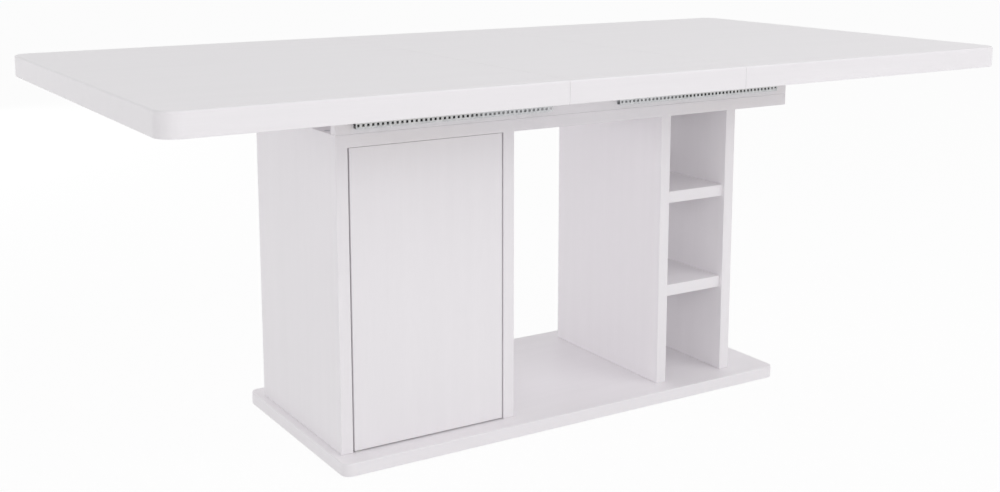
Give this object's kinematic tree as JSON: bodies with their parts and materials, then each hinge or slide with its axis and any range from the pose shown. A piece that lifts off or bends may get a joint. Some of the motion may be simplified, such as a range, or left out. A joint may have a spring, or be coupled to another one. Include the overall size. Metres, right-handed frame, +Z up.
{
  "type": "kitchen table with storage cabinet",
  "caption": "Extending rectangular table in white melamine on a storage pedestal, with a lift-out leaf, sliding top halves, a push-to-open cabinet and an open shelf bay.",
  "frame": {"origin": "on the floor, under the middle of the extended tabletop", "axes": "+X along the table towards the open shelf bay, +Y to the back, +Z up; the cabinet door faces -Y"},
  "size_m": [1.86, 0.96, 0.75],
  "materials": {
    "top_melamine": "satin",
    "carcass_melamine": "satin",
    "bearer_wood": "matte",
    "beech": "matte",
    "felt": "matte",
    "nylon": "matte",
    "latch_plastic": "matte",
    "zinc_steel": "satin",
    "ball_steel": "polished"
  },
  "bodies": {
    "pedestal": {"back_rail": "carcass_melamine", "base_glides": "nylon", "base_plate": "carcass_melamine", "base_screws": "zinc_steel", "cabinet_back": "carcass_melamine", "cabinet_left_side": "carcass_melamine", "cabinet_right_side": "carcass_melamine", "cabinet_shelf_lower": "carcass_melamine", "cabinet_shelf_upper": "carcass_melamine", "front_rail": "carcass_melamine", "left_cross_rail": "carcass_melamine", "left_slide_channel_back": "zinc_steel", "left_slide_channel_front": "zinc_steel", "middle_cross_rail": "carcass_melamine", "open_shelf_lower": "carcass_melamine", "open_shelf_upper": "carcass_melamine", "pivot_bushes": "nylon", "push_latch_housing": "nylon", "rail_screws": "zinc_steel", "right_cross_rail": "carcass_melamine", "right_slide_channel_back": "zinc_steel", "right_slide_channel_front": "zinc_steel", "shelf_dowels": "beech", "shelf_pins": "zinc_steel", "slip_pads": "felt", "top_board": "carcass_melamine", "top_board_screws": "zinc_steel", "upright_inner": "carcass_melamine", "upright_outer": "carcass_melamine"},
    "door": {"cabinet_door": "carcass_melamine", "door_pivot_pins": "zinc_steel", "strike_plate": "zinc_steel"},
    "latch_plunger": {"push_latch_plunger": "latch_plastic"},
    "left_half": {"left_bearer_back": "bearer_wood", "left_bearer_front": "bearer_wood", "left_bearer_screws": "zinc_steel", "left_slide_runner_back": "zinc_steel", "left_slide_runner_front": "zinc_steel", "left_top": "top_melamine"},
    "left_cages": {"left_ball_cage_back": "zinc_steel", "left_ball_cage_front": "zinc_steel", "left_slide_balls": "ball_steel"},
    "right_half": {"right_bearer_back": "bearer_wood", "right_bearer_front": "bearer_wood", "right_bearer_screws": "zinc_steel", "right_slide_runner_back": "zinc_steel", "right_slide_runner_front": "zinc_steel", "right_top": "top_melamine"},
    "right_cages": {"right_ball_cage_back": "zinc_steel", "right_ball_cage_front": "zinc_steel", "right_slide_balls": "ball_steel"},
    "leaf_panel": {"leaf": "top_melamine"}
  },
  "joints": [
    {"name": "door_hinge", "type": "hinge", "parent": "pedestal", "child": "door", "pos_m": [-0.48, -0.1835, 0.32], "axis": [0, 0, -1], "range_deg": [0, 105]},
    {"name": "latch_press", "type": "slide", "parent": "pedestal", "child": "latch_plunger", "axis": [0, 1, 0], "range_m": [0, 0.003], "stiffness_N_per_m": 400},
    {"name": "left_half_slide", "type": "slide", "parent": "pedestal", "child": "left_half", "axis": [-1, 0, 0], "range_m": [0, 0.03]},
    {"name": "left_cage_roll", "type": "slide", "parent": "pedestal", "child": "left_cages", "axis": [-1, 0, 0], "range_m": [0, 0.015]},
    {"name": "right_half_slide", "type": "slide", "parent": "pedestal", "child": "right_half", "axis": [1, 0, 0], "range_m": [0, 0.03]},
    {"name": "right_cage_roll", "type": "slide", "parent": "pedestal", "child": "right_cages", "axis": [1, 0, 0], "range_m": [0, 0.015]},
    {"name": "leaf_lift", "type": "slide", "parent": "pedestal", "child": "leaf_panel", "axis": [0, 0, 1], "range_m": [0, 0.25]}
  ],
  "couplings": [
    {"joint": "left_cage_roll", "follows": "left_half_slide", "ratio": 0.5},
    {"joint": "right_cage_roll", "follows": "right_half_slide", "ratio": 0.5}
  ]
}
